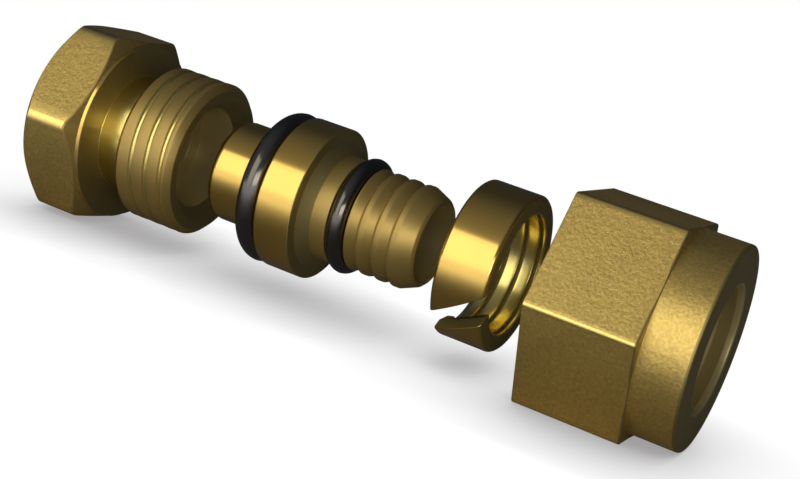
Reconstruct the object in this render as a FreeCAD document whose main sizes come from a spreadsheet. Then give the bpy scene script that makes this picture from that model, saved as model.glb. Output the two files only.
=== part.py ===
import FreeCAD, Part
import Sketcher
import math
import os

# Compression coupling for a 16 mm plastic pipe, shown drawn apart along one axis.
# The axis is X: the female port of the male body is at X = 0 and opens toward -X,
# and the pipe enters the union nut from +X. Both hexagons lie with a flat down.

os.makedirs("parts", exist_ok=True)

doc = FreeCAD.newDocument("pipe_coupling")
sheet = doc.addObject("Spreadsheet::Sheet", "Sizes")

# Driving dimensions in millimetres, apart from slit_turn, which is in degrees
SIZES = {
    # Male body: hexagon, neck and thread
    "body_across_flats": 25.4,
    "body_hex_length": 9.1,
    "hex_chamfer_depth": 1.6,
    "hex_chamfer_reach": 2.0,
    "washer_length": 0.55,
    "washer_inset": 0.2,
    "washer_chamfer_depth": 1.15,
    "neck_radius": 8.1,
    "neck_length": 4.3,
    "thread_radius": 10.75,
    "thread_length": 9.1,
    "thread_pitch": 2.35,
    "thread_depth": 0.4,
    "thread_groove_width": 0.8,
    "thread_first_groove": 2.7,
    "thread_end_chamfer": 0.8,
    # Male body: ways through
    "port_radius": 9.3,
    "port_depth": 7.2,
    "port_chamfer": 0.25,
    "port_floor_depth": 1.0,
    "flow_radius": 4.6,
    "socket_depth": 6.9,
    "socket_mouth_radius": 8.65,
    "socket_mouth_depth": 1.6,
    # Barbed insert
    "insert_gap": 3.5,
    "nose_radius": 6.93,
    "nose_length": 9.78,
    "nose_round": 1.1,
    "collar_radius": 10.4,
    "collar_length": 5.3,
    "collar_edge": 0.35,
    "collar_step_radius": 8.8,
    "collar_step_length": 1.35,
    "spigot_radius": 7.2,
    "spigot_length": 2.2,
    "stem_groove_width": 2.7,
    "stem_land": 0.3,
    "barb_crest_radius": 7.0,
    "barb_valley_radius": 6.3,
    "barb_pitch": 2.3,
    "barb_rise": 0.5,
    "barb_land": 0.75,
    "tip_length": 2.1,
    "tip_radius": 6.1,
    "tip_edge": 0.4,
    "tip_bore_radius": 5.5,
    "tip_bore_depth": 4.4,
    "tip_bore_cone": 1.0,
    "insert_bore_radius": 4.5,
    # Rubber rings: section is the radius of the cord
    "large_ring_proud": 0.02,
    "small_ring_section": 1.25,
    "small_ring_radius": 7.95,
    # Split compression ring
    "ring_gap": 4.8,
    "ring_radius": 10.5,
    "ring_length": 7.2,
    "ring_edge": 0.5,
    "ring_bore_radius": 8.1,
    "ring_mouth_radius": 8.95,
    "ring_mouth_depth": 0.9,
    "grip_groove_depth": 0.4,
    "grip_pitch": 2.1,
    "grip_groove_width": 0.5,
    "grip_from_end": 0.73,
    "slit_opening": 4.0,
    "slit_shift": 4.9,
    "slit_turn": -53.0,
    # Union nut
    "nut_gap": 6.2,
    "nut_across_flats": 27.0,
    "nut_hex_length": 14.3,
    "nut_collar_radius": 13.3,
    "nut_collar_length": 6.2,
    "nut_end_wall": 0.9,
    "nut_cone_length": 2.0,
    "nut_thread_length": 6.5,
    "nut_thread_runout": 0.4,
    "nut_mouth_chamfer": 0.8,
    "pipe_radius": 8.0,
    # Clearances
    "pipe_clearance": 0.25,
    "slide_clearance": 0.12,
    "rubber_clearance": 0.05,
}
BARBS = 3
GRIPS = 3
THREAD_GROOVES = 3
HEX_SIDES = 6
CHAMFER_OVERRUN = 1.5
CUT_MARGIN = 2.0


class Size:
    """A length: its value now, and the expression that ties it to the sheet."""

    def __init__(self, value, text):
        self.value = value
        self.text = text

    @staticmethod
    def of(number):
        if isinstance(number, Size):
            return number
        return Size(float(number), repr(float(number)))

    def joined(self, sign, other, value):
        return Size(value, "(" + self.text + " " + sign + " " + other.text + ")")

    def __add__(self, number):
        other = Size.of(number)
        return self.joined("+", other, self.value + other.value)

    def __sub__(self, number):
        other = Size.of(number)
        return self.joined("-", other, self.value - other.value)

    def __mul__(self, number):
        other = Size.of(number)
        return self.joined("*", other, self.value * other.value)

    def __truediv__(self, number):
        other = Size.of(number)
        return self.joined("/", other, self.value / other.value)


# The sheet, and each of its cells as a Size
dims = {}
for row, (alias, number) in enumerate(SIZES.items(), start=1):
    sheet.set("A" + str(row), alias)
    sheet.set("B" + str(row), str(number))
    sheet.setAlias("B" + str(row), alias)
    dims[alias] = Size(number, "Sizes." + alias)
doc.recompute()
ZERO = Size.of(0.0)

# Radii that follow from what fits together
socket_radius = dims["nose_radius"] + dims["slide_clearance"]
nut_thread_radius = dims["thread_radius"] + dims["slide_clearance"]
nut_cavity_radius = dims["ring_radius"] + dims["slide_clearance"]
nut_pipe_radius = dims["pipe_radius"] + dims["pipe_clearance"]
large_ring_outside = dims["collar_radius"] + dims["large_ring_proud"]
large_ring_section = (large_ring_outside - dims["nose_radius"] - dims["rubber_clearance"]) / 2
large_ring_centre = large_ring_outside - large_ring_section
small_ring_centre = dims["small_ring_radius"] - dims["small_ring_section"]
stem_groove_radius = small_ring_centre - dims["small_ring_section"] - dims["rubber_clearance"]

# Lengths of the pieces, and stations along the insert from the tip of its nose
body_length = dims["body_hex_length"] + dims["neck_length"] + dims["thread_length"]
collar_end = dims["nose_length"] + dims["collar_length"]
spigot_start = collar_end + dims["collar_step_length"]
stem_groove_start = spigot_start + dims["spigot_length"]
stem_start = stem_groove_start + dims["stem_groove_width"]
first_valley = stem_start + dims["stem_land"] + (dims["barb_pitch"] - dims["barb_rise"] - dims["barb_land"])
last_crest_end = first_valley + dims["barb_pitch"] * (BARBS - 1) + dims["barb_rise"] + dims["barb_land"]
insert_length = last_crest_end + dims["tip_length"] + dims["tip_edge"]
nut_length = dims["nut_hex_length"] + dims["nut_collar_length"]

# Stations of the pieces on the common axis
insert_station = body_length + dims["insert_gap"]
ring_station = insert_station + insert_length + dims["ring_gap"]
nut_station = ring_station + dims["ring_length"] + dims["nut_gap"]


def new_body(name, station):
    """A body whose own left end stands at the given station on the axis."""
    body = doc.addObject("PartDesign::Body", name)
    body.Label = name
    body.setExpression("Placement.Base.x", station.text)
    return body


def tie(sketch, line, direction, reach, far_axis):
    """Hold one coordinate of a line's start at a bound distance, or on the axis itself."""
    if abs(reach.value) < 1e-9:
        sketch.addConstraint(Sketcher.Constraint("PointOnObject", line, 1, far_axis))
        return
    ends = (-1, 1, line, 1) if reach.value > 0 else (line, 1, -1, 1)
    index = sketch.addConstraint(Sketcher.Constraint(direction, *ends, abs(reach.value)))
    text = reach.text if reach.value > 0 else "-1 * " + reach.text
    sketch.setExpression("Constraints[" + str(index) + "]", text)


def bound_sketch(body, name, role, outlines):
    """A sketch of closed outlines, each a list of (along, across) corners."""
    sketch = body.newObject("Sketcher::SketchObject", name)
    plane = next(item for item in body.Origin.OriginFeatures if item.Role == role)
    sketch.AttachmentSupport = [(plane, "")]
    sketch.MapMode = "FlatFace"
    for corners in outlines:
        first = sketch.GeometryCount
        places = [FreeCAD.Vector(along.value, across.value, 0) for along, across in corners]
        for i, place in enumerate(places):
            sketch.addGeometry(Part.LineSegment(place, places[(i + 1) % len(places)]), False)
        for i in range(len(places)):
            following = first + (i + 1) % len(places)
            sketch.addConstraint(Sketcher.Constraint("Coincident", first + i, 2, following, 1))
        for i, (along, across) in enumerate(corners):
            tie(sketch, first + i, "DistanceX", along, -2)
            tie(sketch, first + i, "DistanceY", across, -1)
    return sketch


def turned(body, name, outlines, cut=False):
    """Turn outlines about the body's X axis, as stock or as a cut."""
    sketch = bound_sketch(body, name + "_outline", "XZ_Plane", outlines)
    feature = body.newObject("PartDesign::Groove" if cut else "PartDesign::Revolution", name)
    feature.Profile = sketch
    feature.ReferenceAxis = (sketch, ["H_Axis"])
    feature.Angle = 360.0
    return feature


def hexagon_bar(body, name, across_flats, length):
    """A hexagon bar along X that lies with one flat down."""
    corners = []
    for side in range(HEX_SIDES):
        angle = math.radians(360.0 / HEX_SIDES * side)
        across = round(math.cos(angle) / math.sqrt(3.0), 9)
        upward = round(math.sin(angle) / math.sqrt(3.0), 9)
        corners.append((across_flats * across, across_flats * upward if upward else ZERO))
    sketch = bound_sketch(body, name + "_outline", "YZ_Plane", [corners])
    pad = body.newObject("PartDesign::Pad", name)
    pad.Profile = sketch
    pad.setExpression("Length", length.text)
    return pad


def port_end_waste():
    """The triangle outside the cone that takes the corners off the port end of the body's hexagon."""
    rim = dims["body_across_flats"] / 2
    back = dims["hex_chamfer_depth"] * CHAMFER_OVERRUN
    out = rim + dims["hex_chamfer_reach"] * CHAMFER_OVERRUN
    return [(ZERO, rim), (back, out), (ZERO, out)]


def neck_end_waste(face):
    """What is taken off the neck end of the hexagon, so that a low round washer stands before a cone."""
    washer = dims["body_across_flats"] / 2 - dims["washer_inset"]
    foot = face - dims["washer_length"]
    back = dims["washer_chamfer_depth"] * CHAMFER_OVERRUN
    out = washer + dims["hex_chamfer_reach"] * CHAMFER_OVERRUN
    return [(face, washer), (foot, washer), (foot - back, out), (face, out)]


# Male body: hexagon, neck, external thread, and the way through
def male_body():
    body = new_body("male_body", ZERO)
    hex_end = dims["body_hex_length"]
    thread_start = hex_end + dims["neck_length"]
    crest = dims["thread_radius"]
    chamfer = dims["thread_end_chamfer"]
    hexagon_bar(body, "body_hexagon", dims["body_across_flats"], hex_end)
    turned(body, "hexagon_chamfers", [port_end_waste(), neck_end_waste(hex_end)], cut=True)
    outline = [
        (hex_end / 2, ZERO),
        (hex_end / 2, dims["neck_radius"]),
        (thread_start, dims["neck_radius"]),
        (thread_start, crest - chamfer),
        (thread_start + chamfer, crest),
    ]
    for turn in range(THREAD_GROOVES):
        centre = thread_start + dims["thread_first_groove"] + dims["thread_pitch"] * turn
        outline += [
            (centre - dims["thread_groove_width"] / 2, crest),
            (centre, crest - dims["thread_depth"]),
            (centre + dims["thread_groove_width"] / 2, crest),
        ]
    outline += [
        (body_length - chamfer, crest),
        (body_length, crest - chamfer),
        (body_length, ZERO),
    ]
    turned(body, "neck_and_thread", [outline])
    way_through = [
        (ZERO, ZERO),
        (ZERO, dims["port_radius"] + dims["port_chamfer"]),
        (dims["port_chamfer"], dims["port_radius"]),
        (dims["port_depth"], dims["port_radius"]),
        (dims["port_depth"] + dims["port_floor_depth"], dims["flow_radius"]),
        (body_length - dims["socket_depth"], dims["flow_radius"]),
        (body_length - dims["socket_depth"], socket_radius),
        (body_length - dims["socket_mouth_depth"], socket_radius),
        (body_length, dims["socket_mouth_radius"]),
        (body_length, ZERO),
    ]
    turned(body, "way_through", [way_through], cut=True)
    return body


# Barbed insert: nose, collar, spigot, groove for the small rubber ring, and barbs
def barbed_insert():
    body = new_body("barbed_insert", insert_station)
    nose = dims["nose_radius"]
    bore = dims["insert_bore_radius"]
    round_off = dims["nose_round"]
    tip_bore_end = insert_length - dims["tip_bore_depth"]
    outline = [
        (ZERO, nose - round_off),
        (round_off * 0.5, nose - round_off * 0.35),
        (round_off * 1.5, nose),
        (dims["nose_length"], nose),
        (dims["nose_length"], dims["collar_radius"] - dims["collar_edge"]),
        (dims["nose_length"] + dims["collar_edge"], dims["collar_radius"]),
        (collar_end, dims["collar_radius"]),
        (collar_end, dims["collar_step_radius"]),
        (spigot_start, dims["spigot_radius"]),
        (stem_groove_start, dims["spigot_radius"]),
        (stem_groove_start, stem_groove_radius),
        (stem_start, stem_groove_radius),
        (stem_start, dims["barb_crest_radius"]),
        (stem_start + dims["stem_land"], dims["barb_crest_radius"]),
    ]
    for barb in range(BARBS):
        valley = first_valley + dims["barb_pitch"] * barb
        crest = valley + dims["barb_rise"]
        outline += [
            (valley, dims["barb_valley_radius"]),
            (crest, dims["barb_crest_radius"]),
            (crest + dims["barb_land"], dims["barb_crest_radius"]),
        ]
    outline += [
        (last_crest_end + dims["tip_length"], dims["tip_radius"]),
        (insert_length, dims["tip_radius"] - dims["tip_edge"]),
        (insert_length, dims["tip_bore_radius"]),
        (tip_bore_end, dims["tip_bore_radius"]),
        (tip_bore_end - dims["tip_bore_cone"], bore),
        (ZERO, bore),
    ]
    turned(body, "insert_profile", [outline])
    return body


# Rubber rings: the large one in the corner of nose and collar, the small one in the stem groove
def rubber_ring(name, centre_radius, section, station):
    ring = doc.addObject("Part::Torus", name)
    ring.Label = name
    ring.setExpression("Radius1", centre_radius.text)
    ring.setExpression("Radius2", section.text)
    ring.Placement = FreeCAD.Placement(FreeCAD.Vector(), FreeCAD.Rotation(FreeCAD.Vector(0, 1, 0), 90))
    ring.setExpression("Placement.Base.x", station.text)
    return ring


def collar_o_ring():
    seat = insert_station + dims["nose_length"] - dims["rubber_clearance"]
    station = seat - large_ring_section
    return rubber_ring("collar_o_ring", large_ring_centre, large_ring_section, station)


def stem_o_ring():
    station = insert_station + stem_groove_start + dims["stem_groove_width"] / 2
    return rubber_ring("stem_o_ring", small_ring_centre, dims["small_ring_section"], station)


# Split compression ring: grips inside, and one slit that runs aslant from end to end
def split_ring():
    body = new_body("split_ring", ring_station)
    turn = FreeCAD.Rotation(FreeCAD.Vector(1, 0, 0), SIZES["slit_turn"])
    body.Placement = FreeCAD.Placement(FreeCAD.Vector(ring_station.value, 0, 0), turn)
    body.setExpression("Placement.Rotation.Angle", dims["slit_turn"].text + " * 1 deg")
    length = dims["ring_length"]
    outer = dims["ring_radius"]
    edge = dims["ring_edge"]
    bore = dims["ring_bore_radius"]
    groove = dims["grip_groove_width"] / 2
    outline = [
        (ZERO, dims["ring_mouth_radius"]),
        (ZERO, outer - edge),
        (edge, outer),
        (length - edge, outer),
        (length, outer - edge),
        (length, bore),
    ]
    for grip in range(GRIPS):
        centre = length - dims["grip_from_end"] - dims["grip_pitch"] * grip
        outline += [
            (centre + groove, bore),
            (centre, bore + dims["grip_groove_depth"]),
            (centre - groove, bore),
        ]
    outline += [(dims["ring_mouth_depth"], bore)]
    turned(body, "ring_profile", [outline])
    # The slit moves round by slit_shift over the ring's length
    overrun = dims["slit_shift"] * (CUT_MARGIN / length.value)
    half = dims["slit_opening"] / 2
    near = dims["slit_shift"] / 2 + overrun
    far = ZERO - near
    slit = [
        (Size.of(-CUT_MARGIN), near - half),
        (length + CUT_MARGIN, far - half),
        (length + CUT_MARGIN, far + half),
        (Size.of(-CUT_MARGIN), near + half),
    ]
    pocket = body.newObject("PartDesign::Pocket", "slit")
    pocket.Profile = bound_sketch(body, "slit_outline", "XY_Plane", [slit])
    pocket.setExpression("Length", (outer + CUT_MARGIN).text)
    return body


# Union nut: hexagon, round collar, internal thread, ring cavity, pressing cone and pipe hole
def union_nut():
    body = new_body("union_nut", nut_station)
    hex_end = dims["nut_hex_length"]
    hexagon_bar(body, "nut_hexagon", dims["nut_across_flats"], hex_end)
    collar = [
        (hex_end / 2, ZERO),
        (hex_end / 2, dims["nut_collar_radius"]),
        (nut_length, dims["nut_collar_radius"]),
        (nut_length, ZERO),
    ]
    turned(body, "nut_collar", [collar])
    pipe_hole = nut_length - dims["nut_end_wall"]
    cavity_end = pipe_hole - dims["nut_cone_length"]
    inside = [
        (ZERO, ZERO),
        (ZERO, nut_thread_radius + dims["nut_mouth_chamfer"]),
        (dims["nut_mouth_chamfer"], nut_thread_radius),
        (dims["nut_thread_length"], nut_thread_radius),
        (dims["nut_thread_length"] + dims["nut_thread_runout"], nut_cavity_radius),
        (cavity_end, nut_cavity_radius),
        (pipe_hole, nut_pipe_radius),
        (nut_length, nut_pipe_radius),
        (nut_length, ZERO),
    ]
    turned(body, "nut_inside", [inside], cut=True)
    return body


pieces = [
    male_body(),
    barbed_insert(),
    collar_o_ring(),
    stem_o_ring(),
    split_ring(),
    union_nut(),
]
doc.recompute()

# Nothing is written unless every object is sound
for item in doc.Objects:
    if "Invalid" in item.State or "Error" in item.State:
        raise RuntimeError(item.Name + " did not rebuild: " + str(item.State))
for piece in pieces:
    shape = piece.Shape
    if shape.isNull() or not shape.isValid() or len(shape.Solids) != 1:
        raise RuntimeError(piece.Label + " is not one sound solid")
    box = shape.BoundBox
    print(piece.Label, "volume", round(shape.Volume, 1), "X", round(box.XMin, 2), round(box.XMax, 2))

for piece in pieces:
    piece.Shape.exportStep("parts/" + piece.Label + ".step")
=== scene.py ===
"""Looks of a brass pipe coupling, drawn apart in line.

It has a body, an insert, two rubber rings, a split ring and a nut.

Every mesh is in metres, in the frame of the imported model. Sizes of the pieces are in millimetres.
"""

from __future__ import annotations

import logging
import math
from dataclasses import dataclass
from enum import Enum
from typing import Any, Callable, Iterable, Sequence

import bpy
from mathutils import Matrix, Vector

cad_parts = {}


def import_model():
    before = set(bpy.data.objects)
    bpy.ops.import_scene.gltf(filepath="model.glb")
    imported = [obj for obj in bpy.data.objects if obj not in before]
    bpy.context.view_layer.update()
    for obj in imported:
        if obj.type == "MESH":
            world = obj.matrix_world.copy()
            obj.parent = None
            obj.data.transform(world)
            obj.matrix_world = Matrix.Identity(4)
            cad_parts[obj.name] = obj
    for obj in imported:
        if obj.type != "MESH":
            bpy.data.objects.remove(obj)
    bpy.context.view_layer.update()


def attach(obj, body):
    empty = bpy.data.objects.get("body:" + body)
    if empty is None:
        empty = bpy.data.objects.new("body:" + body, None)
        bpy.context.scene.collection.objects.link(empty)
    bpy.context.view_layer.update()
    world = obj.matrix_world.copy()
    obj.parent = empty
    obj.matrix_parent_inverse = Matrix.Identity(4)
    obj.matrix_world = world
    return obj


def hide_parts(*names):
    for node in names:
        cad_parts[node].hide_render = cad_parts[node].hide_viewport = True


MM = 0.001
SIXTH_TURN = math.pi / 3.0
HALF_SIXTH = math.pi / 6.0
EASE_STEPS = 4
EASE_LEAST_ANGLE = 0.05
EASE_SHARE_OF_WALL = 0.45
FLAT_WEIGHT = 80
FLAT_SPREAD = 0.01
NOISE_MIDDLE = 0.5
LOG = logging.getLogger("coupling")

Colour = tuple[float, float, float]
Place = tuple[float, float, float]


class Wall(Enum):
    """The finish of one wall of a piece, by its place in the piece's list of materials. Some are
    darker or paler copies of one brass: painted shade and painted highlight.
    """

    POLISHED = 0
    # Rough brass with a darkened colour: painted shade on threads, spigot, barbs and chamfers.
    MATT_SHADED = 1
    SATIN = 2
    # Duller, darker brass for walls inside bores: painted shade in the recesses.
    INSIDE_SHADED = 3
    # Dark brass for end faces, slit faces and the ring's grooves: painted shade.
    END_SHADED = 4
    # Paler, brighter brass for the neck, the ring's lands and thread roots: painted highlight.
    HIGHLIT = 5


class Value:
    """A shader value: a socket on which plain arithmetic adds Math nodes."""

    def __init__(self, painter: "Painter", socket: Any) -> None:
        """Wrap a socket.

        Args:
            painter: The node tree that the socket is in.
            socket: The output socket.
        """
        self.painter = painter
        self.socket = socket

    def _math(self, operation: str, *sides: Any, clamp: bool = False) -> "Value":
        """Add a Math node.

        Args:
            operation: The node's operation.
            sides: Its values, each a number or a Value.
            clamp: Whether the result stays between 0 and 1.

        Returns:
            The node's result.
        """
        inputs = dict(enumerate(sides))
        settings = {"operation": operation, "use_clamp": clamp}
        made = self.painter.node("ShaderNodeMath", settings, inputs)
        return Value(self.painter, made.outputs[0])

    def __add__(self, other: Any) -> "Value":
        """Sum of the two."""
        return self._math("ADD", self, other)

    def __radd__(self, other: Any) -> "Value":
        """Sum of the two."""
        return self._math("ADD", other, self)

    def __sub__(self, other: Any) -> "Value":
        """This less the other."""
        return self._math("SUBTRACT", self, other)

    def __rsub__(self, other: Any) -> "Value":
        """The other less this."""
        return self._math("SUBTRACT", other, self)

    def __mul__(self, other: Any) -> "Value":
        """Product of the two."""
        return self._math("MULTIPLY", self, other)

    def __rmul__(self, other: Any) -> "Value":
        """Product of the two."""
        return self._math("MULTIPLY", other, self)

    def __truediv__(self, other: Any) -> "Value":
        """This divided by the other."""
        return self._math("DIVIDE", self, other)

    def __pow__(self, other: Any) -> "Value":
        """This raised to the other."""
        return self._math("POWER", self, other)

    def clamped(self) -> "Value":
        """This, held between 0 and 1."""
        return self._math("ADD", self, 0.0, clamp=True)


class Painter:
    """A node tree that is being filled."""

    def __init__(self, tree: bpy.types.NodeTree) -> None:
        """Empty the tree.

        Args:
            tree: The node tree of a material or of the world.
        """
        self.tree = tree
        tree.nodes.clear()

    def node(
        self,
        kind: str,
        settings: dict[str, Any] | None = None,
        sockets: dict[Any, Any] | None = None,
    ) -> Any:
        """Add a node.

        Args:
            kind: The node's type.
            settings: Its settings, which are set first. A ramp's stops are given as "stops".
            sockets: Values or links of its input sockets, by name or number.

        Returns:
            The node.
        """
        made = self.tree.nodes.new(kind)
        for name, setting in (settings or {}).items():
            if name == "stops":
                self._stops(made, setting)
            else:
                setattr(made, name, setting)
        for name, given in (sockets or {}).items():
            if isinstance(given, Value):
                self.tree.links.new(given.socket, made.inputs[name])
            elif isinstance(given, bpy.types.NodeSocket):
                self.tree.links.new(given, made.inputs[name])
            else:
                made.inputs[name].default_value = given
        return made

    @staticmethod
    def _stops(ramp: Any, stops: Sequence[tuple[float, Colour]]) -> None:
        """Set the stops of a colour ramp.

        Args:
            ramp: The ramp's node.
            stops: Place and colour of each stop, in order.
        """
        elements = ramp.color_ramp.elements
        while len(elements) < len(stops):
            elements.new(1.0)
        for element, (place, colour) in zip(elements, stops):
            element.position = place
            element.color = (*colour, 1.0)

    def value(self, socket: Any) -> Value:
        """Wrap a socket for arithmetic."""
        return Value(self, socket)

    def point(self) -> Any:
        """Place on the piece, in metres."""
        return self.node("ShaderNodeTexCoord").outputs["Object"]

    def split(self, vector: Any) -> tuple[Value, Value, Value]:
        """The three parts of a vector."""
        made = self.node("ShaderNodeSeparateXYZ", None, {0: vector})
        return tuple(Value(self, made.outputs[part]) for part in range(3))

    def joined(self, x: Any, y: Any, z: Any) -> Any:
        """A vector of three values."""
        return self.node("ShaderNodeCombineXYZ", None, {0: x, 1: y, 2: z}).outputs[0]

    def noise(self, vector: Any, scale: float, detail: float = 2.0, rough: float = 0.5) -> Value:
        """Noise between about 0 and 1.

        Args:
            vector: Where it is read.
            scale: Grains per unit of the vector.
            detail: Octaves.
            rough: How strong the finer octaves are.

        Returns:
            The noise.
        """
        sockets = {"Vector": vector, "Scale": scale, "Detail": detail, "Roughness": rough}
        return Value(self, self.node("ShaderNodeTexNoise", None, sockets).outputs["Fac"])

    def blend(self, share: Any, low: Any, high: Any) -> Any:
        """A colour between two colours.

        Args:
            share: How much of the second colour.
            low: The first colour or a link to it.
            high: The second colour or a link to it.

        Returns:
            The colour's socket.
        """
        sockets = {0: share, 6: self._rgba(low), 7: self._rgba(high)}
        return self.node("ShaderNodeMix", {"data_type": "RGBA"}, sockets).outputs[2]

    @staticmethod
    def _rgba(colour: Any) -> Any:
        """A colour with its alpha, or the link as it is."""
        return (*colour, 1.0) if isinstance(colour, tuple) and len(colour) == 3 else colour

    def bump(self, height: Value, depth: float) -> Any:
        """A normal from a height.

        Args:
            height: The height, 0 to 1.
            depth: What a height of 1 means, in metres.

        Returns:
            The normal's socket.
        """
        sockets = {"Strength": 1.0, "Distance": depth, "Height": height}
        return self.node("ShaderNodeBump", None, sockets).outputs["Normal"]


def new_material(name: str) -> tuple[bpy.types.Material, Painter]:
    """Make a material with an empty node tree.

    Args:
        name: The material's name.

    Returns:
        The material and the painter of its nodes.
    """
    material = bpy.data.materials.new(name)
    material.use_nodes = True
    return material, Painter(material.node_tree)


def end_with(painter: Painter, sockets: dict[str, Any]) -> None:
    """Close a material with a Principled shader.

    Args:
        painter: The material's painter.
        sockets: The shader's values and links.
    """
    shader = painter.node("ShaderNodeBsdfPrincipled", None, sockets)
    painter.node("ShaderNodeOutputMaterial", None, {"Surface": shader.outputs[0]})


@dataclass(frozen=True)
class TurnedBrass:
    """Brass as it comes off the lathe, with fine marks that run round the axis.

    Depths are in metres. Clouds are soft patches that vary the colour and the roughness.
    """

    name: str
    light: Colour = (0.90, 0.585, 0.135)
    deep: Colour = (0.80, 0.52, 0.125)
    roughness: float = 0.17
    unevenness: float = 0.06
    metallic: float = 1.0
    marks_per_metre: float = 6500.0
    marks_round: float = 25.0
    mark_share: float = 0.6
    mark_depth: float = 1.1e-6
    clouds_per_metre: float = 160.0
    cloud_share: float = 0.4
    cloud_contrast: float = 1.6
    contrast_offset: float = 0.3

    def material(self) -> bpy.types.Material:
        """Make the material.

        Returns:
            The material.
        """
        material, p = new_material(self.name)
        x, y, z = p.split(p.point())
        out = (y * y + z * z) ** 0.5
        fine = self.marks_per_metre
        around = p.joined(x * fine, out * fine, (y + z) * self.marks_round)
        marks = p.noise(around, 1.0, detail=3.0, rough=0.6)
        cloud = p.noise(p.point(), self.clouds_per_metre, detail=3.0)
        share = (cloud * self.cloud_contrast - self.contrast_offset).clamped()
        both = marks * self.mark_share + cloud * self.cloud_share
        end_with(p, {
            "Base Color": p.blend(share, self.deep, self.light),
            "Metallic": self.metallic,
            "Roughness": self.roughness + (both - NOISE_MIDDLE) * self.unevenness,
            "Normal": p.bump(marks, self.mark_depth),
        })
        return material


@dataclass(frozen=True)
class BlastedBrass:
    """Brass with a dull, grainy skin, as on a forged hexagon, rubbed bright along its corners.

    Wear begins and is full at two distances from the axis, in millimetres. Depths are in metres.
    """

    name: str
    worn_from: float
    worn_to: float
    light: Colour = (0.94, 0.65, 0.175)
    deep: Colour = (0.64, 0.44, 0.12)
    worn: Colour = (0.96, 0.68, 0.19)
    metallic: float = 0.92
    roughness: float = 0.42
    worn_roughness: float = 0.22
    grains_per_metre: float = 2600.0
    grain_share: float = 0.7
    dents_per_grain: float = 0.4
    dent_share: float = 0.6
    grain_depth: float = 6.5e-5
    grain_contrast: float = 2.2
    clouds_per_metre: float = 120.0
    cloud_contrast: float = 0.5
    cloud_roughness: float = 0.14
    contrast_offset: float = 0.85
    wear_raggedness: float = 0.7
    wear_smooths: float = 0.75

    def material(self) -> bpy.types.Material:
        """Make the material.

        Returns:
            The material.
        """
        material, p = new_material(self.name)
        _, y, z = p.split(p.point())
        out = (y * y + z * z) ** 0.5
        grain = p.noise(p.point(), self.grains_per_metre, detail=3.0, rough=0.6)
        dents = p.noise(p.point(), self.grains_per_metre * self.dents_per_grain)
        cloud = p.noise(p.point(), self.clouds_per_metre)
        start, width = self.worn_from * MM, (self.worn_to - self.worn_from) * MM
        ragged = (grain - NOISE_MIDDLE) * self.wear_raggedness
        rubbed = ((out - start) / width + ragged).clamped()
        height = grain * self.grain_share + dents * self.dent_share
        share = grain * self.grain_contrast + cloud * self.cloud_contrast - self.contrast_offset
        skin = p.blend(share.clamped(), self.deep, self.light)
        rough = self.roughness + (cloud - NOISE_MIDDLE) * self.cloud_roughness
        end_with(p, {
            "Base Color": p.blend(rubbed, skin, self.worn),
            "Metallic": self.metallic + rubbed * (1.0 - self.metallic),
            "Roughness": rough - rubbed * (self.roughness - self.worn_roughness),
            "Normal": p.bump(height * (1.0 - rubbed * self.wear_smooths), self.grain_depth),
        })
        return material


@dataclass(frozen=True)
class BlackRubber:
    """Moulded rubber of a sealing ring, smooth and glossy. Depths are in metres."""

    name: str
    light: Colour = (0.0032, 0.0028, 0.0023)
    deep: Colour = (0.0020, 0.0017, 0.0015)
    mirrored: Colour = (1.0, 0.90, 0.74)
    roughness: float = 0.17
    refraction: float = 1.75
    skin_per_metre: float = 1800.0
    skin_depth: float = 4.0e-6
    dust_per_metre: float = 420.0
    dust_contrast: float = 1.8
    dust_roughness: float = 0.16
    contrast_offset: float = 0.5

    def material(self) -> bpy.types.Material:
        """Make the material.

        Returns:
            The material.
        """
        material, p = new_material(self.name)
        skin = p.noise(p.point(), self.skin_per_metre)
        dust = p.noise(p.point(), self.dust_per_metre, detail=4.0, rough=0.65)
        share = (dust * self.dust_contrast - self.contrast_offset).clamped()
        end_with(p, {
            "Base Color": p.blend(share, self.deep, self.light),
            "Roughness": self.roughness + (dust - NOISE_MIDDLE) * self.dust_roughness,
            "IOR": self.refraction,
            "Specular IOR Level": 1.0,
            "Specular Tint": (*self.mirrored, 1.0),
            "Normal": p.bump(skin, self.skin_depth),
        })
        return material


@dataclass(frozen=True)
class Stop:
    """A corner of a turned profile, in millimetres, and the finish of the wall that follows it."""

    along: float
    out: float
    ease: float = 0.0
    wall: Wall = Wall.POLISHED


Spot = tuple[float, float, Wall]


def eased(stops: Sequence[Stop]) -> list[Spot]:
    """Round the corners of a closed profile.

    Args:
        stops: The corners, in order round the profile.

    Returns:
        The points of the rounded profile, each with the finish of the wall that follows it.
    """
    spots: list[Spot] = []
    for index, stop in enumerate(stops):
        if stop.ease <= 0.0:
            spots.append((stop.along, stop.out, stop.wall))
            continue
        before, after = stops[index - 1], stops[(index + 1) % len(stops)]
        here = Vector((stop.along, stop.out))
        back = Vector((before.along, before.out)) - here
        ahead = Vector((after.along, after.out)) - here
        half = max(back.angle(ahead, math.pi) / 2.0, EASE_LEAST_ANGLE)
        most = min(back.length * EASE_SHARE_OF_WALL, ahead.length * EASE_SHARE_OF_WALL)
        reach = min(stop.ease / math.tan(half), most)
        start, end = here + back.normalized() * reach, here + ahead.normalized() * reach
        for step in range(EASE_STEPS + 1):
            share = step / EASE_STEPS
            spot = start * (1 - share) ** 2 + here * 2 * share * (1 - share) + end * share**2
            spots.append((spot.x, spot.y, stop.wall))
    return spots


def on_axis(along: float, out: float, angle: float) -> Vector:
    """A point along and out from the axis, in metres. Angle 0 is +Y, and a quarter turn is +Z."""
    return Vector((along * MM, out * MM * math.cos(angle), out * MM * math.sin(angle)))


def even_angles(count: int) -> list[float]:
    """Angles that share out one turn."""
    return [2.0 * math.pi * index / count for index in range(count)]


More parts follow.
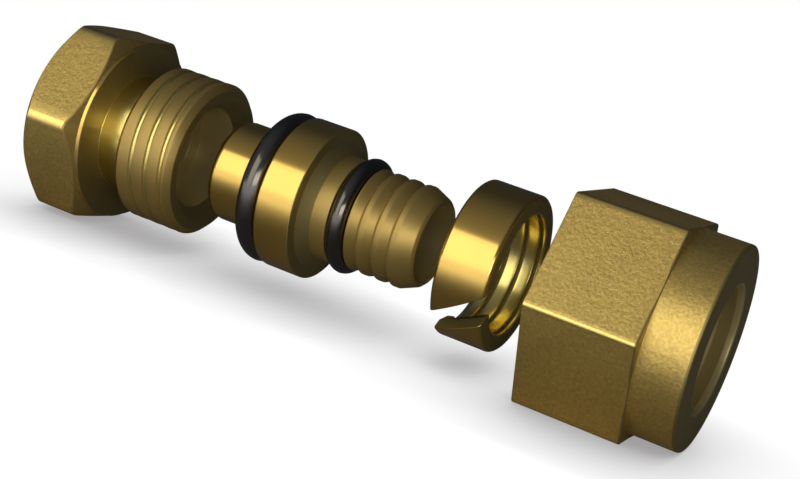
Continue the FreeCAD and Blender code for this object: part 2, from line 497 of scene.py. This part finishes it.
@dataclass(frozen=True)
class HexOutline:
    """Outline of a hexagon bar that lies on a flat, with rounded corners."""

    across_flats: float
    corner_round: float
    flat_steps: int = 22
    corner_steps: int = 10

    def _spread(self) -> float:
        """Angle from the middle of a flat to where its corner's rounding starts."""
        inner = self.across_flats / 2.0 - self.corner_round
        return math.atan(inner * math.tan(HALF_SIXTH) / (self.across_flats / 2.0))

    def radius(self, angle: float) -> float:
        """Distance from the axis to the outline.

        Args:
            angle: Angle round the axis from a corner.

        Returns:
            The distance, in millimetres.
        """
        flat = self.across_flats / 2.0
        from_corner = abs((angle + HALF_SIXTH) % SIXTH_TURN - HALF_SIXTH)
        from_middle = HALF_SIXTH - from_corner
        if from_middle <= self._spread():
            return flat / math.cos(from_middle)
        centre = (flat - self.corner_round) / math.cos(HALF_SIXTH)
        across = centre * math.sin(from_corner)
        rise = math.sqrt(max(self.corner_round**2 - across**2, 0.0))
        return centre * math.cos(from_corner) + rise

    def angles(self) -> list[float]:
        """Angles round the bar, close together at its corners.

        Returns:
            The angles, in order.
        """
        spread, made = self._spread(), []
        gap = SIXTH_TURN - 2.0 * spread
        for side in range(6):
            middle = SIXTH_TURN * side + HALF_SIXTH
            made += [
                middle - spread + 2.0 * spread * step / self.flat_steps
                for step in range(self.flat_steps)
            ]
            made += [
                middle + spread + gap * step / self.corner_steps
                for step in range(self.corner_steps)
            ]
        return made


@dataclass(frozen=True)
class Helix:
    """A right-handed thread, as one groove that winds round the axis, in millimetres."""

    start: float
    end: float
    pitch: float
    first: float
    width: float
    depth: float
    rows: int
    fade: float = 0.7
    bulge: float = 0.0
    flat: float = 0.0
    clear_of_end: float = 0.7
    # The groove's flat bottom takes the paler, brighter brass: a painted highlight line.
    root: Wall = Wall.HIGHLIT

    def _off(self, along: float, angle: float) -> float:
        """How far a place is from the middle of the groove, in turns of the thread."""
        turn = (along - self.first) / self.pitch - angle / (2.0 * math.pi)
        return abs((turn + 0.5) % 1.0 - 0.5)

    def depth_at(self, along: float, angle: float) -> float:
        """Depth of the groove.

        Args:
            along: Place on the axis, in millimetres.
            angle: Angle round the axis.

        Returns:
            The depth, in millimetres.
        """
        off = self._off(along, angle)
        slope = (off * self.pitch / (self.width / 2.0) - self.flat) / (1.0 - self.flat)
        near = min(max(min(along - self.start, self.end - along) / self.fade, 0.0), 1.0)
        cut = 0.5 * (1.0 + math.cos(math.pi * min(max(slope, 0.0), 1.0)))
        from_land = 1.0 - min(off * 2.0, 1.0)
        return (self.depth * cut + self.bulge * from_land**2) * near * near * (3.0 - 2.0 * near)

    def _in_root(self, along: float, angle: float) -> bool:
        """Whether a place is on the groove's flat bottom, clear of where the groove runs out."""
        clear = min(along - self.start, self.end - along) > self.fade * self.clear_of_end
        return clear and self._off(along, angle) * self.pitch < self.flat * self.width / 2.0

    def stops(
        self,
        crest: float,
        angle: float,
        wall: Wall,
        inward: bool = True,
        back: bool = False,
    ) -> list[Stop]:
        """Profile points of the thread.

        Args:
            crest: Radius over the crests.
            angle: Angle round the axis.
            wall: Finish of the thread.
            inward: Whether the groove is cut towards the axis.
            back: Whether the points run from the end to the start.

        Returns:
            The points, in millimetres.
        """
        made = []
        for row in range(self.rows + 1):
            share = row / self.rows
            along = self.start + (self.end - self.start) * (1.0 - share if back else share)
            sign = -1.0 if inward else 1.0
            finish = self.root if self._in_root(along, angle) else wall
            made.append(Stop(along, crest + sign * self.depth_at(along, angle), 0.0, finish))
        return made


def solid_of_sections(
    name: str,
    sections: Sequence[Sequence[Vector]],
    walls: Sequence[Sequence[Wall]],
    closed: bool = True,
) -> bpy.types.Object:
    """Skin sections that stand round the axis.

    Args:
        name: The piece's name.
        sections: Closed sections of the piece, all with the same count of points.
        walls: For each section, the finish of the wall that follows each of its points.
        closed: Whether the last section joins the first. Otherwise both ends are capped.

    Returns:
        The piece.
    """
    count, across = len(sections), len(sections[0])
    points = [point for section in sections for point in section]
    faces, finishes = [], []
    for index in range(count if closed else count - 1):
        here, there = index * across, (index + 1) % count * across
        for spot in range(across):
            after = (spot + 1) % across
            faces.append((here + spot, here + after, there + after, there + spot))
            finishes.append(walls[index][spot].value)
    if not closed:
        faces.append(tuple(reversed(range(across))))
        faces.append(tuple(range((count - 1) * across, count * across)))
        finishes += [Wall.END_SHADED.value] * 2
    mesh = bpy.data.meshes.new(name)
    mesh.from_pydata(points, [], faces)
    mesh.polygons.foreach_set("material_index", finishes)
    mesh.polygons.foreach_set("use_smooth", [True] * len(faces))
    mesh.update()
    piece = bpy.data.objects.new(name, mesh)
    bpy.context.scene.collection.objects.link(piece)
    weighted = piece.modifiers.new("even_shading", "WEIGHTED_NORMAL")
    weighted.mode, weighted.weight, weighted.thresh = "FACE_AREA", FLAT_WEIGHT, FLAT_SPREAD
    return piece


def turned_piece(
    name: str,
    angles: Iterable[float],
    profile: Callable[[float], list[Stop]],
) -> bpy.types.Object:
    """Turn a profile about the axis.

    Args:
        name: The piece's name.
        angles: Where the profile is set.
        profile: The closed profile at an angle.

    Returns:
        The piece.
    """
    sections, walls = [], []
    for angle in angles:
        spots = eased(profile(angle))
        walls.append([wall for _, _, wall in spots])
        sections.append([on_axis(along, out, angle) for along, out, _ in spots])
    return solid_of_sections(name, sections, walls)


@dataclass(frozen=True)
class Brasses:
    """The brass finishes. Body and nut share all of them but the skin of the hexagon."""

    polished: TurnedBrass = TurnedBrass("polished_turned_brass")
    # Rough brass whose colour is darker than the polished brass: the rougher finish is real, the
    # darker colour is painted shade.
    matt_shaded: TurnedBrass = TurnedBrass(
        "matt_shaded_brass",
        light=(0.51, 0.346, 0.093),
        deep=(0.425, 0.288, 0.079),
        roughness=0.42,
        unevenness=0.08,
        metallic=0.76,
        marks_per_metre=5200.0,
        mark_depth=1.6e-6,
    )
    # Duller, darker copy of the brass for walls inside bores: painted shade in the recesses.
    inside: TurnedBrass = TurnedBrass(
        "inside_shaded_brass",
        light=(0.55, 0.44, 0.18),
        deep=(0.46, 0.365, 0.15),
        roughness=0.42,
        unevenness=0.06,
        metallic=0.45,
        marks_per_metre=4200.0,
        mark_depth=0.8e-6,
    )
    # Dark copy of the brass for end faces, slit faces and the ring's grooves: painted shade.
    end: TurnedBrass = TurnedBrass(
        "end_shaded_brass",
        light=(0.44, 0.35, 0.13),
        deep=(0.38, 0.30, 0.11),
        roughness=0.56,
        unevenness=0.05,
        metallic=1.0,
        marks_per_metre=4200.0,
        mark_depth=0.5e-6,
    )
    # Paler, brighter copy of the brass for the neck, the ring's lands and thread roots: painted
    # highlight.
    grip: TurnedBrass = TurnedBrass(
        "highlit_bright_brass",
        light=(0.94, 0.755, 0.235),
        deep=(0.87, 0.69, 0.21),
        roughness=0.22,
        mark_depth=0.8e-6,
    )
    body_skin: BlastedBrass = BlastedBrass(
        "blasted_body_brass",
        worn_from=13.65,
        worn_to=14.3,
        light=(0.83, 0.575, 0.155),
        deep=(0.565, 0.39, 0.106),
    )
    nut_skin: BlastedBrass = BlastedBrass("blasted_nut_brass", worn_from=15.25, worn_to=15.5)

    def sets(self) -> tuple[list[bpy.types.Material], list[bpy.types.Material]]:
        """Make the materials.

        Returns:
            The body's, which insert and split ring share, and the nut's, in the order of Wall.
        """
        turned = (self.polished, self.matt_shaded, self.inside, self.end, self.grip)
        polished, matt_shaded, inside, end, grip = (brass.material() for brass in turned)
        body = [polished, matt_shaded, self.body_skin.material(), inside, end, grip]
        return body, [polished, matt_shaded, self.nut_skin.material(), inside, end, grip]


def dress(
    piece: bpy.types.Object,
    materials: Sequence[bpy.types.Material],
    body: str,
    node: str,
) -> None:
    """Give a piece its materials and its place in the model.

    Args:
        piece: The piece.
        materials: Its materials, in the order of Wall.
        body: The body that it rides on.
        node: The CAD node that it stands for.
    """
    for material in materials:
        piece.data.materials.append(material)
    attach(piece, body)
    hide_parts(node)
    LOG.info("%s: %d faces", piece.name, len(piece.data.polygons))


@dataclass
class MaleBody:
    """Hexagon, neck and external thread in one, with a female port, a way through and a socket."""

    hexagon: HexOutline = HexOutline(across_flats=25.4, corner_round=1.5)
    hex_length: float = 9.1
    hex_chamfer_depth: float = 1.6
    hex_chamfer_reach: float = 2.0
    washer_length: float = 0.55
    washer_inset: float = 0.2
    washer_chamfer_depth: float = 1.15
    neck_radius: float = 8.1
    thread_start: float = 13.4
    thread_radius: float = 10.75
    end_chamfer: float = 0.8
    length: float = 22.5
    port_radius: float = 9.3
    port_depth: float = 7.2
    port_chamfer: float = 0.25
    port_floor_depth: float = 1.0
    flow_radius: float = 4.6
    socket_floor: float = 15.6
    socket_radius: float = 7.05
    mouth_start: float = 20.9
    mouth_radius: float = 8.65
    least_step: float = 0.03
    thread: Helix = Helix(
        start=14.3, end=21.6, pitch=2.35, first=15.0, width=0.8, depth=0.24, rows=120,
        bulge=0.08, flat=0.5,
    )
    port_thread: Helix = Helix(
        start=0.7, end=6.4, pitch=1.814, first=0.7, width=1.5, depth=0.55, rows=56
    )

    def _cut_back(self, angle: float, rim: float, depth: float) -> float:
        """How far a chamfer reaches along the bar.

        Args:
            angle: Angle round the axis.
            rim: Radius where the chamfer starts, in millimetres.
            depth: Its depth where it has gone out by the chamfers' common reach, in millimetres.

        Returns:
            The distance, in millimetres.
        """
        slope = (self.hexagon.radius(angle) - rim) * depth / self.hex_chamfer_reach
        return max(slope, self.least_step)

    def _profile(self, angle: float) -> list[Stop]:
        """The closed profile.

        Args:
            angle: Angle round the axis.

        Returns:
            Its corners and the points of its two threads.
        """
        rim, bar = self.hexagon.across_flats / 2.0 - self.least_step, self.hexagon.radius(angle)
        washer = self.hexagon.across_flats / 2.0 - self.washer_inset
        foot = self.hex_length - self.washer_length
        front = self._cut_back(angle, rim, self.hex_chamfer_depth)
        back = self._cut_back(angle, washer, self.washer_chamfer_depth)
        satin, matt_shaded, bright, inside = Wall.SATIN, Wall.MATT_SHADED, Wall.POLISHED, Wall.INSIDE_SHADED
        outside = [
            Stop(0.0, self.port_radius + self.port_chamfer, 0.1, matt_shaded),
            Stop(0.0, rim, 0.15, bright),
            Stop(front, bar, 0.3, satin),
            Stop(foot - back, bar, 0.3, matt_shaded),
            Stop(foot, washer, 0.05, bright),
            Stop(self.hex_length, washer, 0.12, Wall.END_SHADED),
            # The neck takes the paler, brighter brass: painted highlight.
            Stop(self.hex_length, self.neck_radius, 0.08, Wall.HIGHLIT),
            Stop(self.thread_start, self.neck_radius, 0.1, matt_shaded),
            Stop(self.thread_start, self.thread_radius - self.end_chamfer, 0.1, bright),
            Stop(self.thread_start + self.end_chamfer, self.thread_radius, 0.3, matt_shaded),
        ]
        threads = self.thread.stops(self.thread_radius, angle, matt_shaded)
        mouth = [
            Stop(self.length - self.end_chamfer, self.thread_radius, 0.3, matt_shaded),
            Stop(self.length, self.thread_radius - self.end_chamfer, 0.1, Wall.END_SHADED),
            Stop(self.length, self.mouth_radius, 0.12, Wall.END_SHADED),
            Stop(self.mouth_start, self.socket_radius, 0.1, inside),
            Stop(self.socket_floor, self.socket_radius, 0.15, inside),
            Stop(self.socket_floor, self.flow_radius, 0.2, inside),
            Stop(self.port_depth + self.port_floor_depth, self.flow_radius, 0.2, inside),
            Stop(self.port_depth, self.port_radius, 0.1, inside),
        ]
        port = self.port_thread.stops(self.port_radius, angle, inside, inward=False, back=True)
        rim_of_port = Stop(self.port_chamfer, self.port_radius, 0.05, inside)
        return [*outside, *threads, *mouth, *port, rim_of_port]

    def build(self, materials: Sequence[bpy.types.Material]) -> None:
        """Make the piece and dress it."""
        piece = turned_piece("hexagon_body", self.hexagon.angles(), self._profile)
        dress(piece, materials, "body_side", "male_body")


@dataclass
class BarbedInsert:
    """Nose, collar, spigot and barbed stem in one."""

    station: float = 26.0
    nose_radius: float = 6.93
    nose_length: float = 9.78
    nose_round: float = 1.1
    collar_radius: float = 10.4
    collar_end: float = 15.08
    step_radius: float = 8.8
    spigot_start: float = 16.43
    spigot_radius: float = 7.2
    groove_start: float = 18.63
    groove_radius: float = 5.4
    stem_start: float = 21.33
    stem_land: float = 0.3
    barbs: int = 3
    barb_crest: float = 7.0
    barb_valley: float = 6.3
    barb_pitch: float = 2.3
    barb_rise: float = 0.5
    barb_land: float = 0.75
    first_valley: float = 22.68
    tip_start: float = 30.63
    tip_radius: float = 6.1
    tip_edge: float = 0.4
    tip_bore_radius: float = 5.5
    tip_bore_depth: float = 4.4
    tip_bore_cone: float = 1.0
    bore_radius: float = 4.5
    length: float = 31.03
    steps: int = 240

    def _barbs(self) -> list[Stop]:
        """The barbs, each steep to the left and falling slowly to the right.

        Returns:
            Their corners.
        """
        made = []
        for barb in range(self.barbs):
            valley = self.first_valley + self.barb_pitch * barb
            crest = valley + self.barb_rise
            made += [
                Stop(valley, self.barb_valley, 0.08, Wall.MATT_SHADED),
                Stop(crest, self.barb_crest, 0.25, Wall.MATT_SHADED),
                Stop(crest + self.barb_land, self.barb_crest, 0.6, Wall.MATT_SHADED),
            ]
        return made

    def _profile(self, angle: float) -> list[Stop]:
        """The closed profile, which is the same all round.

        Args:
            angle: Angle round the axis. It is not used.

        Returns:
            Its corners.
        """
        matt_shaded, bright, inside = Wall.MATT_SHADED, Wall.POLISHED, Wall.INSIDE_SHADED
        tip_bore_end = self.length - self.tip_bore_depth
        stops = [
            Stop(0.0, self.bore_radius, 0.15, matt_shaded),
            Stop(0.0, self.nose_radius, self.nose_round, bright),
            Stop(self.nose_length, self.nose_radius, 0.15, matt_shaded),
            Stop(self.nose_length, self.collar_radius, 0.3, bright),
            Stop(self.collar_end, self.collar_radius, 0.15, Wall.END_SHADED),
            Stop(self.collar_end, self.step_radius, 0.1, Wall.END_SHADED),
            Stop(self.spigot_start, self.spigot_radius, 0.2, matt_shaded),
            Stop(self.groove_start, self.spigot_radius, 0.15, matt_shaded),
            Stop(self.groove_start, self.groove_radius, 0.15, matt_shaded),
            Stop(self.stem_start, self.groove_radius, 0.15, matt_shaded),
            Stop(self.stem_start, self.barb_crest, 0.12, matt_shaded),
            Stop(self.stem_start + self.stem_land, self.barb_crest, 0.3, matt_shaded),
            *self._barbs(),
            Stop(self.tip_start, self.tip_radius, 0.4, matt_shaded),
            Stop(self.length, self.tip_radius - self.tip_edge, 0.12, Wall.END_SHADED),
            Stop(self.length, self.tip_bore_radius, 0.05, inside),
            Stop(tip_bore_end, self.tip_bore_radius, 0.1, inside),
            Stop(tip_bore_end - self.tip_bore_cone, self.bore_radius, 0.3, inside),
        ]
        return [Stop(self.station + s.along, s.out, s.ease, s.wall) for s in stops]

    def build(self, materials: Sequence[bpy.types.Material]) -> None:
        """Make the piece and dress it."""
        piece = turned_piece("stepped_insert", even_angles(self.steps), self._profile)
        dress(piece, materials, "insert_side", "barbed_insert")


@dataclass
class RubberRing:
    """A sealing ring of round section. The section is its radius, in millimetres."""

    name: str
    node: str
    body: str
    station: float
    centre_radius: float
    section: float
    flash: float = 0.02
    flash_sharpness: float = 14.0
    steps: int = 192
    section_steps: int = 48

    def _point(self, turn: float, angle: float) -> Vector:
        """A point of the ring, which has a thin mould line round its outside.

        Args:
            turn: Angle round the section.
            angle: Angle round the axis.

        Returns:
            The point, in metres.
        """
        near = max(0.0, 1.0 - abs(math.cos(turn)) * self.flash_sharpness)
        proud = self.flash * near * (1.0 if math.sin(turn) > 0 else 0.0)
        size = self.section - self.flash + proud
        along = self.station + size * math.cos(turn)
        return on_axis(along, self.centre_radius + size * math.sin(turn), angle)

    def build(self, material: bpy.types.Material) -> None:
        """Make the piece and dress it.

        Args:
            material: The rubber.
        """
        sections = [
            [self._point(turn, angle) for turn in even_angles(self.section_steps)]
            for angle in even_angles(self.steps)
        ]
        walls = [[Wall.POLISHED] * self.section_steps] * self.steps
        piece = solid_of_sections(self.name, sections, walls)
        dress(piece, [material], self.body, self.node)


@dataclass
class SplitRing:
    """Compression ring with grips inside and one slit that runs aslant from end to end."""

    station: float = 61.83
    length: float = 7.2
    outer_radius: float = 10.5
    edge: float = 0.36
    bore_radius: float = 8.1
    mouth_radius: float = 8.95
    mouth_depth: float = 0.9
    groove_depth: float = 0.4
    groove_width: float = 0.5
    grips: int = 3
    grip_pitch: float = 2.1
    grip_from_end: float = 0.73
    wall_step: float = 0.45
    slit_opening: float = 4.0
    slit_shift: float = 4.9
    slit_turn: float = -53.0
    burr: float = 0.12
    lip_insets: tuple[float, ...] = (1.0, 0.35, 0.08, 0.0)
    lip_shares: tuple[float, ...] = (0.0, 0.0006, 0.0013, 0.0022)
    steps: int = 200

    def _profile(self) -> list[Stop]:
        """The closed profile of the ring.

        Returns:
            Its corners.
        """
        matt_shaded, bright = Wall.MATT_SHADED, Wall.POLISHED
        half = self.groove_width / 2.0
        stops = [
            Stop(0.0, self.mouth_radius, 0.1, matt_shaded),
            Stop(0.0, self.outer_radius - self.edge, 0.35, bright),
            Stop(self.edge, self.outer_radius, 0.5, bright),
            Stop(self.length - self.edge, self.outer_radius, 0.5, bright),
            Stop(self.length, self.outer_radius - self.edge, 0.35, Wall.END_SHADED),
            Stop(self.length, self.bore_radius, 0.15, Wall.HIGHLIT),
        ]
        for grip in range(self.grips):
            centre = self.length - self.grip_from_end - self.grip_pitch * grip
            stops += [
                # The grooves' walls take the dark end brass: painted shade in the grooves.
                Stop(centre + half, self.bore_radius, 0.2, Wall.END_SHADED),
                Stop(centre, self.bore_radius + self.groove_depth, 0.05, Wall.END_SHADED),
                Stop(centre - half, self.bore_radius, 0.2, Wall.HIGHLIT),
            ]
        return stops + [Stop(self.mouth_depth, self.bore_radius, 0.15, Wall.HIGHLIT)]

    def _fine(self, spots: Sequence[Spot]) -> list[Spot]:
        """Divide the profile's long walls, so that each stays round where the slit runs aslant.

        Args:
            spots: The profile's points.

        Returns:
            The points with more between them.
        """
        made: list[Spot] = []
        for index, (along, out, wall) in enumerate(spots):
            after = spots[(index + 1) % len(spots)]
            run, rise = after[0] - along, after[1] - out
            steps = max(1, math.ceil(math.hypot(run, rise) / self.wall_step))
            for step in range(steps):
                share = step / steps
                made.append((along + run * share, out + rise * share, wall))
        return made

    def _lip(self, along: float, out: float, side: float) -> float:
        """Angle of one face of the slit.

        Args:
            along: Place from the ring's left end.
            out: Distance from the axis.
            side: 1 for the upper face and -1 for the lower one.

        Returns:
            The angle.
        """
        middle = self.slit_shift * (0.5 - along / self.length)
        across = middle + side * self.slit_opening / 2.0
        return -math.acos(max(-1.0, min(1.0, across / out)))

    def _section(self, spots: Sequence[Spot], share: float, inset: float) -> list[Vector]:
        """One section of the ring.

        Args:
            spots: The profile's points.
            share: Place round the ring, from one face of the slit to the other.
            inset: How far the section's outline is drawn in.

        Returns:
            The section's points.
        """
        points, turn = [], math.radians(self.slit_turn)
        for index, (along, out, _) in enumerate(spots):
            before, after = spots[index - 1], spots[(index + 1) % len(spots)]
            tangent = Vector((after[0] - before[0], after[1] - before[1]))
            if tangent.length > 1e-9:
                inward = Vector((tangent.y, -tangent.x)).normalized() * inset
                along, out = along + inward.x, out + inward.y
            first = self._lip(along, out, 1.0)
            last = self._lip(along, out, -1.0) + 2.0 * math.pi
            angle = first + (last - first) * share + turn
            points.append(on_axis(self.station + along, out, angle))
        return points

    def build(self, materials: Sequence[bpy.types.Material]) -> None:
        """Make the piece and dress it. Its first and last sections are drawn in, as rounded lips.

        Args:
            materials: The brasses, in the order of Wall.
        """
        spots = self._fine(eased(self._profile()))
        first = list(self.lip_shares)
        between = [step / self.steps for step in range(1, self.steps)]
        shares = first + between + [1.0 - share for share in reversed(first)]
        insets = [self.burr * part for part in self.lip_insets]
        drawn = insets + [0.0] * len(between) + list(reversed(insets))
        sections = [self._section(spots, share, inset) for share, inset in zip(shares, drawn)]
        walls = [[wall for _, _, wall in spots]] * len(sections)
        piece = solid_of_sections("slit_ring", sections, walls, closed=False)
        dress(piece, materials, "ring_side", "split_ring")


@dataclass
class UnionNut:
    """Hexagon with a round collar, an internal thread, a cavity for the ring and a cone."""

    hexagon: HexOutline = HexOutline(across_flats=27.0, corner_round=0.6, corner_steps=8)
    station: float = 75.23
    hex_length: float = 14.3
    collar_radius: float = 13.3
    length: float = 20.5
    mouth_chamfer: float = 0.8
    thread_radius: float = 10.87
    thread_length: float = 6.5
    thread_runout: float = 0.4
    cavity_radius: float = 10.62
    cavity_end: float = 17.6
    cone_end: float = 19.6
    pipe_radius: float = 8.25
    thread: Helix = Helix(
        start=76.2, end=81.5, pitch=2.35, first=76.9, width=1.6, depth=0.4, rows=52
    )

    def _profile(self, angle: float) -> list[Stop]:
        """The closed profile.

        Args:
            angle: Angle round the axis.

        Returns:
            Its corners and the points of its thread.
        """
        bar = self.hexagon.radius(angle)
        satin, matt_shaded, inside = Wall.SATIN, Wall.MATT_SHADED, Wall.INSIDE_SHADED
        x = self.station
        return [
            Stop(x, self.thread_radius + self.mouth_chamfer, 0.1, matt_shaded),
            Stop(x, bar, 0.25, satin),
            Stop(x + self.hex_length, bar, 0.25, Wall.END_SHADED),
            Stop(x + self.hex_length, self.collar_radius, 0.06, satin),
            Stop(x + self.length, self.collar_radius, 0.4, Wall.END_SHADED),
            Stop(x + self.length, self.pipe_radius, 0.3, inside),
            Stop(x + self.cone_end, self.pipe_radius, 0.15, inside),
            Stop(x + self.cavity_end, self.cavity_radius, 0.15, inside),
            Stop(x + self.thread_length + self.thread_runout, self.cavity_radius, 0.05, inside),
            Stop(x + self.thread_length, self.thread_radius, 0.05, inside),
            *self.thread.stops(self.thread_radius, angle, inside, inward=False, back=True),
            Stop(x + self.mouth_chamfer, self.thread_radius, 0.05, inside),
        ]

    def build(self, materials: Sequence[bpy.types.Material]) -> None:
        """Make the piece and dress it."""
        piece = turned_piece("hexagon_nut", self.hexagon.angles(), self._profile)
        dress(piece, materials, "nut_side", "union_nut")


@dataclass(frozen=True)
class SoftBox:
    """A soft box that faces the pieces, with its sizes in metres.

    The way is the direction from the pieces to it. A radiance of 1 makes its face look white.
    """

    name: str
    way: Place
    distance: float
    width: float
    height: float
    radiance: float

    def hang(self, centre: Place) -> None:
        """Hang the soft box.

        Args:
            centre: The middle of the pieces, in metres.
        """
        lamp = bpy.data.lights.new(self.name, "AREA")
        lamp.shape, lamp.size, lamp.size_y = "RECTANGLE", self.width, self.height
        lamp.energy = self.radiance * math.pi * self.width * self.height
        box = bpy.data.objects.new(self.name, lamp)
        outward = Vector(self.way).normalized()
        box.location = Vector(centre) + outward * self.distance
        box.rotation_mode = "QUATERNION"
        box.rotation_quaternion = outward.to_track_quat("Z", "Y")
        bpy.context.scene.collection.objects.link(box)


@dataclass
class Studio:
    """White floor, dim room, lamps and the camera.

    The floor's height and half width are in millimetres. Places and distances are in metres.
    """

    floor_height: float = -13.5
    floor_half: float = 3000.0
    centre: Place = (0.048, 0.0, 0.0)
    key: SoftBox = SoftBox(
        "key", way=(-0.367, -0.895, 0.250), distance=0.75, width=0.66, height=0.64, radiance=1.35
    )
    fill: SoftBox = SoftBox(
        "fill", way=(0.50, -0.85, 0.14), distance=0.65, width=0.50, height=0.20, radiance=3.4
    )
    pool_from: Place = (-0.02, -0.442, 1.2)
    pool_at: Place = (-0.02, -0.442, -0.0135)
    pool_half_angle: float = 19.0
    pool_power: float = 250.0
    pool_softness: float = 0.1
    pool_lamp_radius: float = 0.02
    floor_paint: Colour = (0.27, 0.275, 0.30)
    metal_sees: float = 0.015
    shade_reach: float = 0.016
    shade_power: float = 1.3
    shade_samples: int = 16
    shade: Colour = (0.34, 0.33, 0.33)
    room: tuple[tuple[float, Colour], ...] = (
        (0.0, (0.010, 0.012, 0.018)),
        (0.45, (0.020, 0.024, 0.040)),
        (0.56, (0.042, 0.049, 0.078)),
        (0.72, (0.10, 0.11, 0.14)),
        (0.875, (0.17, 0.175, 0.19)),
        (1.0, (0.28, 0.28, 0.28)),
    )
    camera_place: Place = (0.126956, -0.186036, 0.035693)
    camera_right: Place = (0.870810, 0.404988, 0.278701)
    camera_down: Place = (0.327387, -0.054800, -0.943300)
    lens: float = 70.44
    sensor_width: float = 36.0
    nearest: float = 0.005
    farthest: float = 100.0

    def _seen(self, p: Painter) -> Value:
        """How much of the white background a ray is shown.

        Args:
            p: The painter of the floor or of the room.

        Returns:
            All of it for the camera and through glass, and a small share for what metal mirrors.
        """
        path = p.node("ShaderNodeLightPath")
        camera = p.value(path.outputs["Is Camera Ray"])
        glossy = p.value(path.outputs["Is Glossy Ray"])
        through = p.value(path.outputs["Is Transmission Ray"])
        return (camera + through + glossy * self.metal_sees).clamped()

    def floor(self) -> None:
        """Make the floor, white to the camera, with the soft shade under the pieces."""
        half, height = self.floor_half * MM, self.floor_height * MM
        mesh = bpy.data.meshes.new("studio_floor")
        ends = ((-half, -half), (half, -half), (half, half), (-half, half))
        mesh.from_pydata([(x, y, height) for x, y in ends], [], [(0, 1, 2, 3)])
        material, p = new_material("white_floor")
        settings, sockets = {"samples": self.shade_samples}, {"Distance": self.shade_reach}
        hidden = p.node("ShaderNodeAmbientOcclusion", settings, sockets)
        open_sky = p.value(hidden.outputs["AO"])
        paint = p.node("ShaderNodeBsdfDiffuse", None, {"Color": (*self.floor_paint, 1.0)})
        shade = p.blend(open_sky ** self.shade_power, self.shade, (1.0, 1.0, 1.0))
        white = p.node("ShaderNodeEmission", None, {"Color": shade, "Strength": 1.0})
        sides = {0: self._seen(p), 1: paint.outputs[0], 2: white.outputs[0]}
        mix = p.node("ShaderNodeMixShader", None, sides)
        p.node("ShaderNodeOutputMaterial", None, {"Surface": mix.outputs[0]})
        mesh.materials.append(material)
        floor = bpy.data.objects.new("studio_floor", mesh)
        bpy.context.scene.collection.objects.link(floor)

    def world(self) -> None:
        """Make the room: white behind the pieces, dim round them, lighter towards the key lamp."""
        world = bpy.data.worlds.new("studio_room")
        bpy.context.scene.world = world
        world.use_nodes = True
        p = Painter(world.node_tree)
        way = p.node("ShaderNodeTexCoord").outputs["Generated"]
        towards = Vector(self.key.way).normalized()
        sockets = {0: way, 1: tuple(towards)}
        dot = p.node("ShaderNodeVectorMath", {"operation": "DOT_PRODUCT"}, sockets)
        facing = p.value(dot.outputs["Value"])
        tone = p.node("ShaderNodeValToRGB", {"stops": self.room}, {0: facing * 0.5 + 0.5})
        dim = p.node("ShaderNodeBackground", None, {"Color": tone.outputs[0], "Strength": 1.0})
        sockets = {"Color": (1.0, 1.0, 1.0, 1.0), "Strength": 1.0}
        white = p.node("ShaderNodeBackground", None, sockets)
        sides = {0: self._seen(p), 1: dim.outputs[0], 2: white.outputs[0]}
        mix = p.node("ShaderNodeMixShader", None, sides)
        p.node("ShaderNodeOutputWorld", None, {"Surface": mix.outputs[0]})

    def lamps(self) -> None:
        """Hang the soft boxes. The fill lies low beside the camera, and lights what faces it."""
        self.key.hang(self.centre)
        self.fill.hang(self.centre)
        self._floor_lamp()

    def _floor_lamp(self) -> None:
        """Hang the lamp that lights the floor in front of the pieces, which the brass mirrors."""
        lamp = bpy.data.lights.new("floor_lamp", "SPOT")
        lamp.energy, lamp.spot_blend = self.pool_power, self.pool_softness
        lamp.shadow_soft_size = self.pool_lamp_radius
        lamp.spot_size = 2.0 * math.radians(self.pool_half_angle)
        spot = bpy.data.objects.new("floor_lamp", lamp)
        spot.location = Vector(self.pool_from)
        spot.rotation_mode = "QUATERNION"
        upward = Vector(self.pool_from) - Vector(self.pool_at)
        spot.rotation_quaternion = upward.to_track_quat("Z", "Y")
        bpy.context.scene.collection.objects.link(spot)

    def camera(self) -> None:
        """Set the camera where the photograph was taken from."""
        lens = bpy.data.cameras.new("camera")
        lens.lens, lens.sensor_width, lens.sensor_fit = self.lens, self.sensor_width, "HORIZONTAL"
        lens.clip_start, lens.clip_end = self.nearest, self.farthest
        right, down = Vector(self.camera_right), Vector(self.camera_down)
        up = -down
        camera = bpy.data.objects.new("camera", lens)
        turn = Matrix((right, up, right.cross(up))).transposed()
        camera.matrix_world = Matrix.Translation(Vector(self.camera_place)) @ turn.to_4x4()
        bpy.context.scene.collection.objects.link(camera)
        bpy.context.scene.camera = camera

    def build(self) -> None:
        """Make all of it."""
        self.floor()
        self.world()
        self.lamps()
        self.camera()
        bpy.context.scene.view_settings.view_transform = "Standard"
        LOG.info("studio is set")


def main() -> None:
    """Build every piece in order, then the studio, and log the count of faces of each piece."""
    logging.basicConfig(level=logging.INFO, format="%(message)s")
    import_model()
    brass, nut_brass = Brasses().sets()
    rubber = BlackRubber("black_ring_rubber").material()
    MaleBody().build(brass)
    BarbedInsert().build(brass)
    RubberRing(
        "collar_seal", "collar_o_ring", "seal_side", station=34.01, centre_radius=8.70, section=1.72
    ).build(rubber)
    RubberRing(
        "stem_seal", "stem_o_ring", "insert_side", station=45.98, centre_radius=6.70, section=1.25
    ).build(rubber)
    SplitRing().build(brass)
    UnionNut().build(nut_brass)
    Studio().build()


if __name__ == "__main__":
    main()
